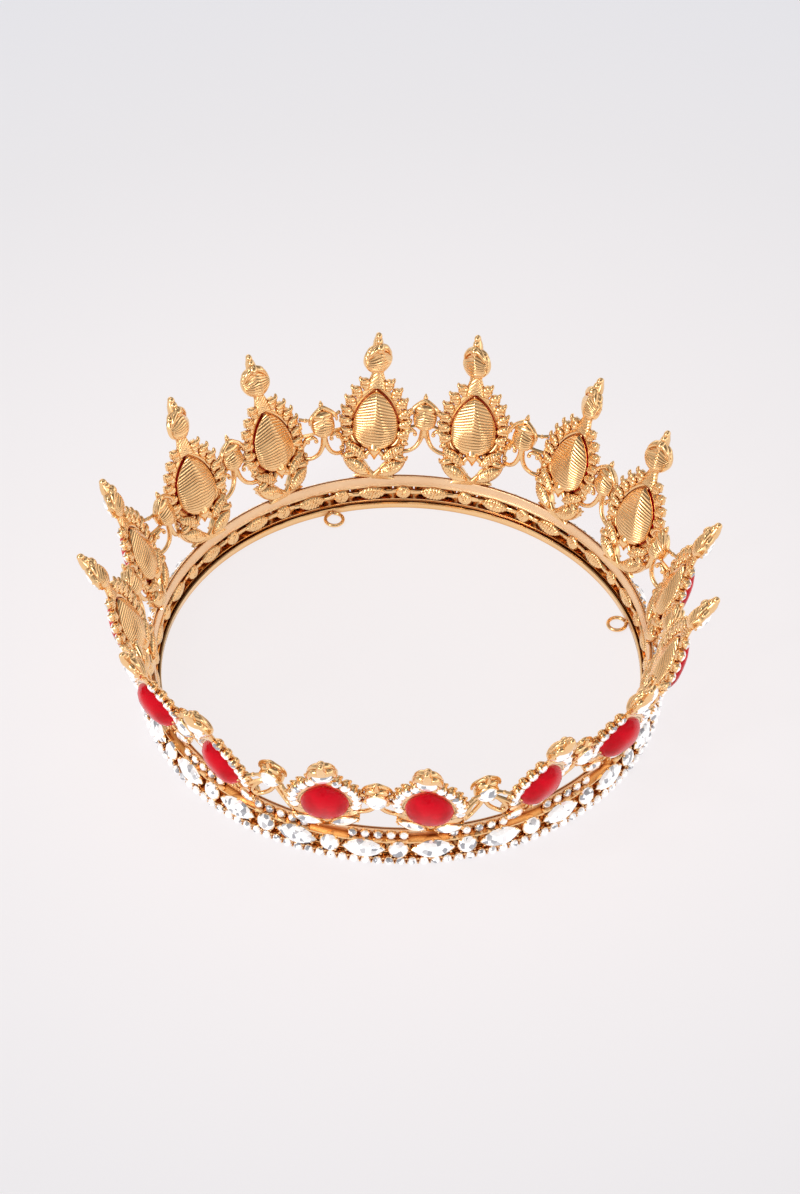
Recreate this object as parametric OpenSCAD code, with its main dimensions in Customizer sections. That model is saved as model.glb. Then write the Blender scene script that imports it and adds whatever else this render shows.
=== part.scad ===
// Full-round crown: a gem-set band with sixteen leaning spires, joined in pairs by small link
// castings. Eight flat panels of two spires stand around the band. The origin is the centre of
// the band on the surface it rests on, and +Z points up through the spires.

/* [Band] */
// Inside radius of the band at its foot
band_r = 70; // [62:0.5:80]
// Height of the band, from its foot to the top of the upper rail
band_h = 11; // [10:0.5:14]
// How much further out the inside face of the upper rail stands than the foot's
band_flare = 2.2; // [1:0.2:4]
// Depth of the band, from its inside face to the backs of its stones
band_depth = 5.8; // [3.4:0.2:6.4]
// Height of the foot strip, which holds the lowest row of stones
foot_h = 2.4; // [2.4:0.1:3.2]
// Height of the upper rail
rail_h = 3.2; // [3:0.1:4]
// Thickness of the upper rail
rail_t = 1.4; // [1.2:0.1:2]
// Phase of the first gallery setting from the middle of a panel, in degrees
gallery_phase = 3; // [0:0.5:7.5]

/* [Spires] */
// Lean of the spires outwards from upright, in degrees
spire_lean = 22; // [18:0.5:28]
// Sideways distance of a spire's axis from the middle of its panel
spire_side = 14.7; // [14:0.1:15.5]
// Thickness of a spire's cast plate
plate_t = 1.6; // [1.2:0.1:2.4]
// Half width of the large drop setting
drop_r = 6.8; // [6:0.1:7.2]
// Height of the drop setting's widest point above the rail, along the lean
drop_v = 15.7; // [14.8:0.1:16]
// Distance from the drop setting's widest point to its tip
drop_tip = 12; // [10.5:0.1:12.5]
// Height of the finial's widest point above the rail, along the lean
finial_v = 38.2; // [37:0.1:39]
// Half width of the finial
finial_r = 4.5; // [4:0.1:4.8]

/* [Links] */
// Half width of the drop setting in a link
link_r = 3.6; // [3:0.1:4]
// Height of a link's setting above the rail, along the lean
link_v = 19.8; // [18.5:0.1:20]
// Radius of a scroll's loop, at the middle of its wire
scroll_r = 3.2; // [2.6:0.1:3.6]
// Diameter of the scroll wire
wire_d = 1.1; // [0.8:0.1:1.4]

/* [Pin loops] */
// Inside radius of a loop, which a hairpin passes through
loop_bore_r = 2.1; // [1.8:0.1:3]
// Height of a loop's wire
loop_t = 1.2; // [1:0.1:1.6]

/* [Hidden] */
$fn = 48;
panels = 8;
spires = 2 * panels;
pitch = 360 / spires;
loops = 4;

// The gallery lies between the foot strip and the upper rail.
gallery_h = band_h - foot_h - rail_h;
gallery_z = foot_h + gallery_h / 2;
gallery_sets = 24;
gallery_step = 360 / gallery_sets;
wire_t = 0.6;
marquise_len = 12.6;
marquise_w = 5.8;
round_r = 2.8;
setting_wall = 0.7;
setting_back = 0.78;

// Rows of small round stones, all with flat backs against the band's outside face.
foot_stones = 144;
foot_stone_r = 1.1;
rail_stone_r = 1.15;
rail_stone_z = 9.1;
rail_stone_step = 2.85;
rail_stone_half_row = 2;
small_stone_t = 1.3;

// A panel is a flat plane that leans outwards, and meets the middle of the rail's inner face.
rail_r = band_r + band_flare;
panel_r = sqrt(rail_r * rail_r - spire_side * spire_side);

// Small stones around the drop, in a frame that is open below it. Their angles close up, and they stand further out, towards
// its tip. A horn rises outwards from each.
halo_per_side = 6;
halo_first = -11.3;
halo_step = 22.4;
halo_offset = 2.2;
halo_offset_step = 0.42;
halo_stone_r = 1.4;
halo_cup_r = 1.8;
horn_slope = 51;
horn_len = 1.9;
horn_r = 0.4;
bead_r = 1.4;
bead_v = 46.3;
side_bead_r = 1;
side_bead_x = 1.3;
side_bead_drop = 1.7;
frame_tip = 4.2;
frame_gap = 10.4;
neck_w = 3.2;
neck_len = 7;
finial_tip = 6.5;
finial_depth = 1.4;

// The two leaves at a spire's foot, as a centre, a length, a width and a slope.
leaf_x = 5.2;
leaf_v = 3.5;
leaf_len = 10.2;
leaf_w = 4.8;
leaf_slope = 33;

scroll_v = 12.5;
cup_depth = 1.8;
stone_t = 3.8;
red_margin = 0.35;
eps = 0.02;

function two(n) = str(n < 10 ? "0" : "", n);

SPIRES = [for (k = [1 : spires]) str("spire_", two(k))];
LINKS = [for (k = [1 : spires]) str("link_", two(k))];
DROPS = [for (k = [1 : spires]) str("red_drop_", two(k))];

// Inside radius of the band at height z.
function inner_r(z) = band_r + band_flare * z / band_h;

// Angle of stone number i up one side of a drop, seen from the drop's widest point.
function halo_angle(i) = halo_first + i * halo_step - i * i;

// Distance from a drop's widest point to its outline at angle a above its width. The upper
// part is an arc through the tip, tangent to the round lower part.
function side_arc_r(r, tip) = (r * r + tip * tip) / (2 * r);
function outline(r, tip, a) =
    a <= 0 ? r
    : let (big = side_arc_r(r, tip), d = (big - r) * cos(a)) sqrt(d * d + 2 * r * big - r * r) - d;

// ---------- Flat shapes ----------

// Pointed oval, as long as len along X.
module marquise(len, w) {
    big = (len * len + w * w) / (4 * w);
    intersection() {
        translate([0, big - w / 2]) circle(r = big);
        translate([0, w / 2 - big]) circle(r = big);
    }
}

// Drop with a round lower half, and two arcs that meet at its tip.
module drop(r, tip) {
    big = side_arc_r(r, tip);
    circle(r = r);
    intersection() {
        translate([r - big, 0]) circle(r = big);
        translate([big - r, 0]) circle(r = big);
        translate([-r, 0]) square([2 * r, tip]);
    }
}

// Straight strip from point a to point b.
module strip(a, b, w) {
    d = b - a;
    translate(a) rotate(atan2(d.y, d.x)) translate([0, -w / 2]) square([norm(d), w]);
}

// ---------- Placing ----------

// Puts its children on the leaning plane at an azimuth: X sideways, Y up the lean, Z outwards.
module on_plane(azimuth) {
    rotate(-azimuth)
        translate([0, panel_r, band_h])
            rotate([90 - spire_lean, 0, 0])
                mirror([0, 0, 1])
                    children();
}

// Puts its children on the axis of spire k, from 1 to 16. Two share each panel.
module at_spire(k) {
    panel = floor((k - 1) / 2);
    side = (k % 2 == 1) ? -1 : 1;
    on_plane(panel * 2 * pitch) translate([side * spire_side, 0, 0]) children();
}

// Puts its children outside the band: Y up, Z outwards from the axis, at radius r.
module on_band(azimuth, r, z) {
    rotate(-azimuth)
        translate([0, r, z])
            rotate([90, 0, 0])
                mirror([0, 0, 1])
                    children();
}

// Everything below the top of the rail, seen from a leaning plane.
module below_rail() {
    rotate([-spire_lean, 0, 0]) translate([-20, -20, -20]) cube([40, 20, 40]);
}

// ---------- Band ----------

module base_ring() {
    foot_out = band_r + band_depth;
    foot_lip = 1.1;
    color("goldenrod")
        rotate_extrude($fn = 180)
            polygon([
                [band_r, 0],
                [foot_out, 0],
                [foot_out, foot_h - foot_lip / 2],
                [foot_out - foot_lip, foot_h],
                [inner_r(foot_h), foot_h]
            ]);
}

module upper_rail() {
    low = band_h - rail_h;
    color("goldenrod")
        rotate_extrude($fn = 180)
            polygon([
                [inner_r(low), low],
                [inner_r(low) + rail_t, low],
                [rail_r + rail_t, band_h],
                [rail_r, band_h]
            ]);
}

// Open settings in a row between two thin strips, which hold the wide front of each setting.
module gallery_band() {
    inner = inner_r(gallery_z) + 0.3;
    depth = band_depth - 1;
    color("goldenrod") union() {
        for (z = [foot_h, band_h - rail_h - wire_t])
            rotate_extrude($fn = 180)
                translate([inner_r(z) + 0.4, z]) square([depth / 2 + 1, wire_t]);
        for (i = [0 : gallery_sets - 1]) {
            azimuth = gallery_phase + i * gallery_step;
            on_band(azimuth, inner, gallery_z) {
                linear_extrude(depth) marquise(marquise_len * setting_back, marquise_w * setting_back);
                translate([0, 0, depth / 2]) linear_extrude(depth / 2) marquise(marquise_len, marquise_w);
            }
            on_band(azimuth + gallery_step / 2, inner, gallery_z) {
                cylinder(r = round_r * setting_back, h = depth);
                translate([0, 0, depth / 2]) cylinder(r = round_r, h = depth / 2);
            }
        }
    }
}

// Four wire eyes inside the foot, each under the joint between two panels.
module pin_loops() {
    loop_r = loop_bore_r + 1;
    color("goldenrod")
        for (i = [0 : loops - 1])
            rotate(-(i * 360 / loops - pitch))
                translate([0, band_r - loop_r - 0.1, 0.4])
                    difference() {
                        union() {
                            cylinder(r = loop_r, h = loop_t);
                            translate([-1, loop_bore_r + 0.2, 0]) cube([2, 0.9, loop_t]);
                        }
                        translate([0, 0, -eps]) cylinder(r = loop_bore_r, h = loop_t + 2 * eps);
                    }
}

// ---------- Spires ----------

module leaf_outline(side) {
    translate([side * leaf_x, leaf_v]) rotate(side * leaf_slope) marquise(leaf_len, leaf_w);
}

module halo_spot(side, i) {
    a = halo_angle(i);
    r = outline(drop_r, drop_tip, a) + halo_offset + i * halo_offset_step;
    translate([side * r * cos(a), drop_v + r * sin(a)]) children();
}

// Rounded horn that rises outwards from a small setting.
module horn(side) {
    rotate(side > 0 ? horn_slope : 180 - horn_slope) {
        translate([0, -horn_r]) square([horn_len, 2 * horn_r]);
        translate([horn_len, 0]) circle(r = horn_r, $fn = 16);
    }
}

// The pierced plate: a foot with two leaves, a frame around the drop, and a neck.
module spire_outline() {
    foot_half = 5;
    translate([-foot_half, -2]) square([2 * foot_half, 3.1]);
    for (side = [-1, 1]) {
        leaf_outline(side);
        strip([side * 3.4, 4.6], [side * 1.2, 9.6], 1.2);
        strip([side * 8.6, 6.6], [side * 6.2, 11.5], 2);
        for (i = [0 : halo_per_side - 1]) {
            halo_spot(side, i) circle(r = halo_cup_r, $fn = 24);
            halo_spot(side, i) horn(side);
        }
    }
    difference() {
        translate([0, drop_v]) drop(drop_r + halo_offset, drop_tip + frame_tip);
        square([frame_gap, 2 * frame_gap], center = true);
    }
    translate([-neck_w / 2, drop_v + drop_tip]) square([neck_w, neck_len]);
}

module spire() {
    color("goldenrod") difference() {
        union() {
            linear_extrude(plate_t) spire_outline();
            translate([0, drop_v, -cup_depth])
                linear_extrude(cup_depth + plate_t) drop(drop_r, drop_tip);
            translate([0, finial_v, -finial_depth])
                linear_extrude(finial_depth + plate_t + 0.6) drop(finial_r, finial_tip);
            translate([0, bead_v, plate_t / 2]) sphere(r = bead_r, $fn = 24);
            for (side = [-1, 1])
                translate([side * side_bead_x, bead_v - side_bead_drop, plate_t / 2])
                    sphere(r = side_bead_r, $fn = 24);
        }
        below_rail();
    }
}

// Faceted drop: a straight girdle with a smaller table on top.
module drop_stone(r, tip, t) {
    linear_extrude(t / 3) drop(r, tip);
    linear_extrude(t * 2 / 3) drop(r * 0.82, tip * 0.82);
    linear_extrude(t) drop(r * 0.55, tip * 0.55);
}

module red_drop() {
    color("crimson")
        translate([0, drop_v, plate_t])
            drop_stone(drop_r - red_margin, drop_tip - 2 * red_margin, stone_t);
}

// ---------- Links ----------

// Half widths that a link has to span: less inside a panel than across the joint of two.
function link_reach(k) = (k % 2 == 1) ? 4.6 : 7.6;
function link_sweep(k) = (k % 2 == 1) ? 0 : -28;

module scroll(x) {
    translate([x, scroll_v, plate_t / 2])
        rotate_extrude($fn = 48)
            translate([scroll_r, 0]) circle(d = wire_d, $fn = 24);
}

module link(k) {
    reach = link_reach(k);
    bar_v = [17.4, 21.2];
    color("goldenrod") union() {
        translate([0, link_v, -0.9]) linear_extrude(plate_t + 1.4) drop(link_r, 4.8);
        translate([0, link_v + 6.4, plate_t / 2]) sphere(r = 0.9, $fn = 24);
        translate([-0.7, link_v + 3.6, 0.2]) cube([1.4, 2.6, 1.2]);
        translate([-0.7, 12, 0.2]) cube([1.4, 4.6, 1.2]);
        for (side = [-1, 1]) rotate([0, side * link_sweep(k), 0]) {
            scroll(side * (scroll_r + 0.8));
            for (v = bar_v)
                translate([side > 0 ? 2 : -reach, v, 0.4]) cube([reach - 2, 0.9, 0.9]);
            translate([side * (scroll_r + reach / 2), scroll_v - scroll_r, plate_t / 2])
                sphere(r = 0.9, $fn = 24);
        }
    }
}

module at_link(k) {
    on_plane((k - 0.5) * pitch - pitch / 2) children();
}

// ---------- Stones in rows ----------

module round_stone(r) {
    cylinder(r = r, h = small_stone_t / 2);
    cylinder(r1 = r, r2 = r * 0.55, h = small_stone_t);
}

module foot_row_stones() {
    color("white")
        for (i = [0 : foot_stones - 1])
            on_band(i * 360 / foot_stones, band_r + band_depth, foot_stone_r + 0.1)
                round_stone(foot_stone_r);
}

module rail_row_stones() {
    color("white")
        for (bay = [0 : spires - 1], i = [-rail_stone_half_row : rail_stone_half_row])
            on_band(bay * pitch + i * rail_stone_step, inner_r(rail_stone_z) + rail_t, rail_stone_z)
                round_stone(rail_stone_r);
}

module gallery_marquise_stones() {
    out = inner_r(gallery_z) + band_depth - 0.7;
    color("white")
        for (i = [0 : gallery_sets - 1])
            on_band(gallery_phase + i * gallery_step, out, gallery_z) {
                linear_extrude(0.8) marquise(marquise_len - setting_wall, marquise_w - setting_wall);
                linear_extrude(1.8) marquise(marquise_len * 0.6, marquise_w * 0.6);
            }
}

module gallery_round_stones() {
    out = inner_r(gallery_z) + band_depth - 0.7;
    color("white")
        for (i = [0 : gallery_sets - 1])
            on_band(gallery_phase + (i + 0.5) * gallery_step, out, gallery_z) {
                cylinder(r = round_r - setting_wall / 2, h = 0.8);
                cylinder(r = round_r * 0.6, h = 1.7);
            }
}

module leaf_stones() {
    color("white")
        for (k = [1 : spires], side = [-1, 1])
            at_spire(k)
                translate([side * leaf_x, leaf_v, plate_t]) rotate(side * leaf_slope) {
                    linear_extrude(0.8) marquise(leaf_len - 1, leaf_w - 0.8);
                    linear_extrude(1.7) marquise(leaf_len * 0.6, leaf_w * 0.6);
                }
}

module halo_stones() {
    color("white")
        for (k = [1 : spires], side = [-1, 1], i = [0 : halo_per_side - 1])
            at_spire(k)
                translate([0, 0, plate_t])
                    halo_spot(side, i) cylinder(r = halo_stone_r, h = 1, $fn = 24);
}

module link_stones() {
    color("white")
        for (k = [1 : spires])
            at_link(k) translate([0, link_v, plate_t + 0.5]) drop_stone(link_r - 0.4, 4.2, 2.4);
}

module finial_stones() {
    color("white")
        for (k = [1 : spires])
            at_spire(k) translate([0, finial_v, 2.2]) drop_stone(finial_r - 0.5, finial_r + 1.2, 2.2);
}

// ---------- The crown ----------

base_ring();
gallery_band();
upper_rail();
pin_loops();
for (k = [1 : spires]) {
    at_spire(k) spire();
    at_link(k) link(k);
    at_spire(k) red_drop();
}
foot_row_stones();
rail_row_stones();
gallery_marquise_stones();
gallery_round_stones();
leaf_stones();
halo_stones();
link_stones();
finial_stones();
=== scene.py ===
import math

import bmesh
import bpy
import numpy as np
from mathutils import Matrix, Vector


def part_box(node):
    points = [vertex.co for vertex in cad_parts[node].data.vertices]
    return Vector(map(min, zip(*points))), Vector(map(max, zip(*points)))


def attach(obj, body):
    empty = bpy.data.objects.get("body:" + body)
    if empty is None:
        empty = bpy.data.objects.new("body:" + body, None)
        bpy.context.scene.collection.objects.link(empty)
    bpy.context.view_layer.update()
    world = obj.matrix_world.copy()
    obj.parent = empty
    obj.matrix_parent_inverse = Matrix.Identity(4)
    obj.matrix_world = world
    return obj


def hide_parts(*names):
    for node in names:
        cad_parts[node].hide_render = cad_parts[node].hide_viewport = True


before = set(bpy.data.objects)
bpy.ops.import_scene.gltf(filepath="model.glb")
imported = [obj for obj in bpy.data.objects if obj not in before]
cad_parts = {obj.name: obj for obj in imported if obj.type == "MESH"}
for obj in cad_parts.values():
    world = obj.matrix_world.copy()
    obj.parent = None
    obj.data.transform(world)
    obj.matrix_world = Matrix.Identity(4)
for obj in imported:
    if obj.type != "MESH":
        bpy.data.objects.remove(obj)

MM = 0.001
TAU = 2 * math.pi
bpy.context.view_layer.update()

# ---------- Camera, at the photograph's viewing angle ----------

CAMERA_ELEVATION = math.radians(44.45)
CAMERA_TURN = math.radians(4.53)
CAMERA_ROLL = math.radians(0.775)
CAMERA_DISTANCE = 1.701
CAMERA_RISE = 0.0222
CAMERA_SIDE = -0.00055
CAMERA_LENS = 175.3


def make_camera():
    """A long lens, far off, looking down at the crown's far inside and near outside."""
    forward = Vector((0, math.cos(CAMERA_ELEVATION), -math.sin(CAMERA_ELEVATION)))
    up = Vector((0, math.sin(CAMERA_ELEVATION), math.cos(CAMERA_ELEVATION)))
    right = Vector((1, 0, 0))
    place = -forward * CAMERA_DISTANCE + up * CAMERA_RISE + right * CAMERA_SIDE
    rolled_right = right * math.cos(CAMERA_ROLL) + up * math.sin(CAMERA_ROLL)
    rolled_up = up * math.cos(CAMERA_ROLL) - right * math.sin(CAMERA_ROLL)
    pose = Matrix((rolled_right, rolled_up, -forward)).transposed().to_4x4()
    pose.translation = place
    data = bpy.data.cameras.new("camera")
    data.lens = CAMERA_LENS
    data.sensor_width = 36
    data.clip_end = 20
    camera = bpy.data.objects.new("camera", data)
    camera.matrix_world = Matrix.Rotation(CAMERA_TURN, 4, "Z") @ pose
    bpy.context.scene.collection.objects.link(camera)
    bpy.context.scene.camera = camera


make_camera()

# ---------- Sizes, in millimetres ----------


def size_of(node):
    """Lowest and highest corner of a CAD node, in millimetres."""
    low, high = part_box(node)
    return low / MM, high / MM


_, foot_high = size_of("base_ring")
rail_low, rail_high = size_of("upper_rail")
loop_low, loop_high = size_of("pin_loops")

BAND_R = 70.0  # inside radius of the foot
BAND_H = rail_high.z
FLARE = 2.2  # how much further out the rail's inside face stands
BAND_LEAN = math.atan2(FLARE, BAND_H)
FOOT_OUT = foot_high.x
FOOT_H = foot_high.z
RAIL_LOW = rail_low.z
RAIL_T = 1.4  # thickness of the rail's wall
RAIL_STONE_R, RAIL_STONE_Z = 1.27, 9.1
RAIL_R = BAND_R + FLARE
PANELS = 8
SPIRES = 2 * PANELS
PITCH = 360 / SPIRES
SPIRE_SIDE = 14.7  # from a flat panel's middle to each of its two spires
LEAN = math.radians(22)  # of the spires and links, outwards
PANEL_R = math.sqrt(RAIL_R**2 - SPIRE_SIDE**2)

PLATE = 1.6  # thickness of a spire's frame
# A drop's R is its round part's radius, TIP its tip's height over its middle, V its middle's up the lean
DROP_R, DROP_TIP, DROP_V = 6.8, 12.0, 15.7
FINIAL_R, FINIAL_TIP, FINIAL_V = 4.5, 5.4, 38.2
BEAD_V = 46.4  # top bead of a finial that isn't bent
# How each finial is bent, in degrees: turned about its stalk, tipped outwards, tipped sideways
FINIAL_BENDS = [
    (30, -12, 0), (-28, -2, 0), (-20, 0, 0), (12, 0, 0), (-15, 6, -2), (-22, 10, 0), (8, 8, 0), (-6, 10, 0),
    (-4, 12, 0), (7, 12, 0), (10, 10, 0), (-8, 8, 0), (18, 12, 0), (12, 0, 3), (22, 0, 0), (-14, 0, 0),
]
HALO, HALO_R = 6, 1.65  # small settings on each side of a drop, and their radius
LINK_R, LINK_TIP, LINK_V = 3.6, 4.8, 19.8
SCROLL_V = 12.5
LEAF_X, LEAF_V, LEAF_LEN, LEAF_W, LEAF_SLOPE = 5.2, 3.5, 10.2, 4.8, math.radians(33)
GALLERY = 24  # settings of each kind
GALLERY_PHASE = 3.0  # azimuth of the first marquise, in degrees from +Y
GALLERY_Z = (FOOT_H + RAIL_LOW) / 2
MARQUISE_LEN, MARQUISE_W, ROUND_R = 12.6, 6.3, 2.95
FOOT_STONES, FOOT_STONE_R = 144, 1.22
RAIL_GROUP, RAIL_STEP = 5, 2.85  # stones in each group, and degrees from one to the next
LOOP_BORE_R, LOOP_WIRE_R = 2.1, 0.55
MIRROR = Matrix.Diagonal((-1, 1, 1, 1))  # left for right


def inner_r(z):
    """Inside radius of the band at height z."""
    return BAND_R + FLARE * z / BAND_H


# ---------- Meshes from points ----------


class Shape:
    """Points and faces of one piece, in millimetres, with a material number for each face."""

    def __init__(self):
        self.points = []
        self.loops = []
        self.sizes = []
        self.slots = []
        self.count = 0

    def add(self, parts, slot=0):
        """Adds (points, [faces, ...]), where each faces array has one width."""
        points, face_sets = parts
        for faces in face_sets:
            faces = np.asarray(faces, int)
            self.loops.append((faces + self.count).ravel())
            self.sizes.append(np.full(len(faces), faces.shape[1]))
            self.slots.append(np.full(len(faces), slot))
        self.points.append(np.asarray(points, float))
        self.count += len(points)
        return self

    def merge(self, other, place=Matrix()):
        """Adds another shape, moved by a 4 by 4 matrix. A mirrored one keeps its faces outwards."""
        spot = np.array(place)
        points = np.concatenate(other.points) @ spot[:3, :3].T + spot[:3, 3]
        loops, sizes = np.concatenate(other.loops), np.concatenate(other.sizes)
        if np.linalg.det(spot[:3, :3]) < 0:
            loops = turned(loops, sizes)
        self.points.append(points)
        self.loops.append(loops + self.count)
        self.sizes.append(sizes)
        self.slots.append(np.concatenate(other.slots))
        self.count += len(points)
        return self

    def mesh(self, name):
        """A Blender mesh of the shape, in metres."""
        points = np.concatenate(self.points) * MM
        loops = np.concatenate(self.loops).astype(np.int32)
        sizes = np.concatenate(self.sizes).astype(np.int32)
        starts = np.concatenate([[0], np.cumsum(sizes)[:-1]]).astype(np.int32)
        made = bpy.data.meshes.new(name)
        made.vertices.add(len(points))
        made.vertices.foreach_set("co", points.astype(np.float32).ravel())
        made.loops.add(len(loops))
        made.loops.foreach_set("vertex_index", loops)
        made.polygons.add(len(sizes))
        made.polygons.foreach_set("loop_start", starts)
        made.polygons.foreach_set("loop_total", sizes)
        made.polygons.foreach_set("material_index", np.concatenate(self.slots).astype(np.int32))
        made.update(calc_edges=True)
        made.validate()
        return made


def turned(loops, sizes):
    """The same faces, each listed the other way round."""
    ends = np.cumsum(sizes)
    return np.concatenate([loops[end - size : end][::-1] for end, size in zip(ends, sizes)])


def sheet(rows, closed=False):
    """Quads between rings of points. closed joins the last ring to the first."""
    rows = np.asarray(rows, float)
    n, m = rows.shape[:2]
    i = np.arange(n if closed else n - 1)[:, None]
    j = np.arange(m)[None, :]
    i2, j2 = (i + 1) % n, (j + 1) % m
    quads = np.stack([i * m + j, i * m + j2, i2 * m + j2, i2 * m + j], -1).reshape(-1, 4)
    return rows.reshape(-1, 3), [quads]


def capped(rows):
    """A closed solid of rings, from the first to the last, each end closed round its middle."""
    rows = np.asarray(rows, float)
    n, m = rows.shape[:2]
    points, (quads,) = sheet(rows)
    ends = np.array([rows[0].mean(0), rows[-1].mean(0)])
    j = np.arange(m)
    j2 = (j + 1) % m
    first = np.column_stack([j2, j, np.full(m, n * m)])
    last = np.column_stack([(n - 1) * m + j, (n - 1) * m + j2, np.full(m, n * m + 1)])
    return np.vstack([points, ends]), [quads, first, last]


def ball(middle, r, rings, sides, stretch=(1, 1, 1)):
    """A closed ball of small quads."""
    a = np.linspace(0.12, math.pi - 0.12, rings)[:, None]
    b = np.arange(sides)[None, :] / sides * TAU
    rows = np.stack([np.sin(a) * np.cos(b), np.sin(a) * np.sin(b), np.cos(a) + 0 * b], -1)
    points, faces = capped(rows)
    return points * r * np.array(stretch) + np.asarray(middle, float), faces


def tube(path, radii, sides):
    """A round bar along a path that nowhere runs along Z. Its radii run from end to end."""
    path = np.asarray(path, float)
    radii = np.interp(np.linspace(0, 1, len(path)), np.linspace(0, 1, len(radii)), radii)
    along = np.gradient(path, axis=0)
    along /= np.linalg.norm(along, axis=1)[:, None]
    across = np.cross(along, (0, 0, 1))
    across /= np.linalg.norm(across, axis=1)[:, None]
    over = np.cross(along, across)
    a = np.arange(sides) / sides * TAU
    ring = across[:, None] * np.cos(a)[None, :, None] + over[:, None] * np.sin(a)[None, :, None]
    return capped(path[:, None] + ring * radii[:, None, None])


def curve(points, n):
    """n points on a smooth line through the points given."""
    points = np.asarray(points, float)
    padded = np.vstack([2 * points[0] - points[1], points, 2 * points[-1] - points[-2]])
    t = np.linspace(0, len(points) - 1, n)
    k = np.minimum(t.astype(int), len(points) - 2)
    f = (t - k)[:, None]
    a, b, c, d = padded[k], padded[k + 1], padded[k + 2], padded[k + 3]
    return 0.5 * (2 * b + (c - a) * f + (2 * a - 5 * b + 4 * c - d) * f**2 + (3 * b - a - 3 * c + d) * f**3)


def lathe(profile, sides):
    """A solid of revolution about Z. The profile is a closed loop of (radius, height)."""
    a = np.arange(sides) / sides * TAU
    rows = [[(r * math.cos(t), r * math.sin(t), z) for t in a] for r, z in profile]
    return sheet(rows, True)


# ---------- Outlines: closed rows of (x, y), counterclockwise ----------


def round_outline(r, n):
    a = np.arange(n) / n * TAU
    return np.column_stack([r * np.cos(a), r * np.sin(a)])


def drop_outline(r, tip, n):
    """Round below, with two arcs that meet at a tip above. It starts at the tip."""
    big = (r * r + tip * tip) / (2 * r)
    half = math.asin(min(1, tip / big))
    side, low = big * half, math.pi * r
    s = np.arange(n) / n * (2 * side + low)
    left = half - s / big
    under = math.pi + (s - side) / r
    right = (s - side - low) / big
    x = np.where(s < side, big - r - big * np.cos(left),
                 np.where(s < side + low, r * np.cos(under), r - big + big * np.cos(right)))
    y = np.where(s < side, big * np.sin(left),
                 np.where(s < side + low, r * np.sin(under), big * np.sin(right)))
    return np.column_stack([x, y])


def marquise_outline(length, width, n):
    """Pointed oval along X. It starts at its right point."""
    big = (length**2 + width**2) / (4 * width)
    half = math.asin(length / 2 / big)
    a = math.pi / 2 - half + np.arange(n // 2) / (n // 2) * 2 * half
    top = np.column_stack([big * np.cos(a), big * np.sin(a) + width / 2 - big])
    return np.vstack([top, -top])


def grow(outline, by):
    """The outline moved outwards, with its corners kept."""
    back = outline - np.roll(outline, 1, 0)
    ahead = np.roll(outline, -1, 0) - outline
    n1 = np.column_stack([back[:, 1], -back[:, 0]])
    n2 = np.column_stack([ahead[:, 1], -ahead[:, 0]])
    n1 /= np.linalg.norm(n1, axis=1)[:, None]
    n2 /= np.linalg.norm(n2, axis=1)[:, None]
    middle = n1 + n2
    middle /= np.linalg.norm(middle, axis=1)[:, None]
    stretch = 1 / np.maximum(0.55, (middle * n1).sum(1))
    return outline + by * stretch[:, None] * middle


def at_height(outline, z):
    return np.column_stack([outline, np.full(len(outline), float(z))])


def rim(outline, profile):
    """A wall that follows an outline. Its profile is a closed loop of (distance out, height)."""
    return sheet([at_height(grow(outline, out), z) for out, z in profile], True)


def swept(outline, start, stop, profile):
    """A bar along part of an outline, as shares of the way round. Its profile is as for rim."""
    n = len(outline)
    rings = np.stack([at_height(grow(outline, out), z) for out, z in profile], 1)
    picked = np.arange(int(start * n), int(stop * n) + 1) % n
    return capped(rings[picked])


def stack(outline, levels):
    """A closed solid of an outline at several (scale, height) levels."""
    return capped([at_height(outline * scale, z) for scale, z in levels])


def moved(parts, x, y, z=0, turn=0):
    """Parts turned about Z, then moved."""
    points, faces = parts
    spot = np.array(Matrix.Translation((x, y, z)) @ Matrix.Rotation(turn, 4, "Z"))
    return points @ spot[:3, :3].T + spot[:3, 3], faces


def both_sides(spots):
    """Each (x, y) place and its mirror image in X."""
    return [(side * x, y) for x, y in spots for side in (1, -1)]


# ---------- Cast details ----------


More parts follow.
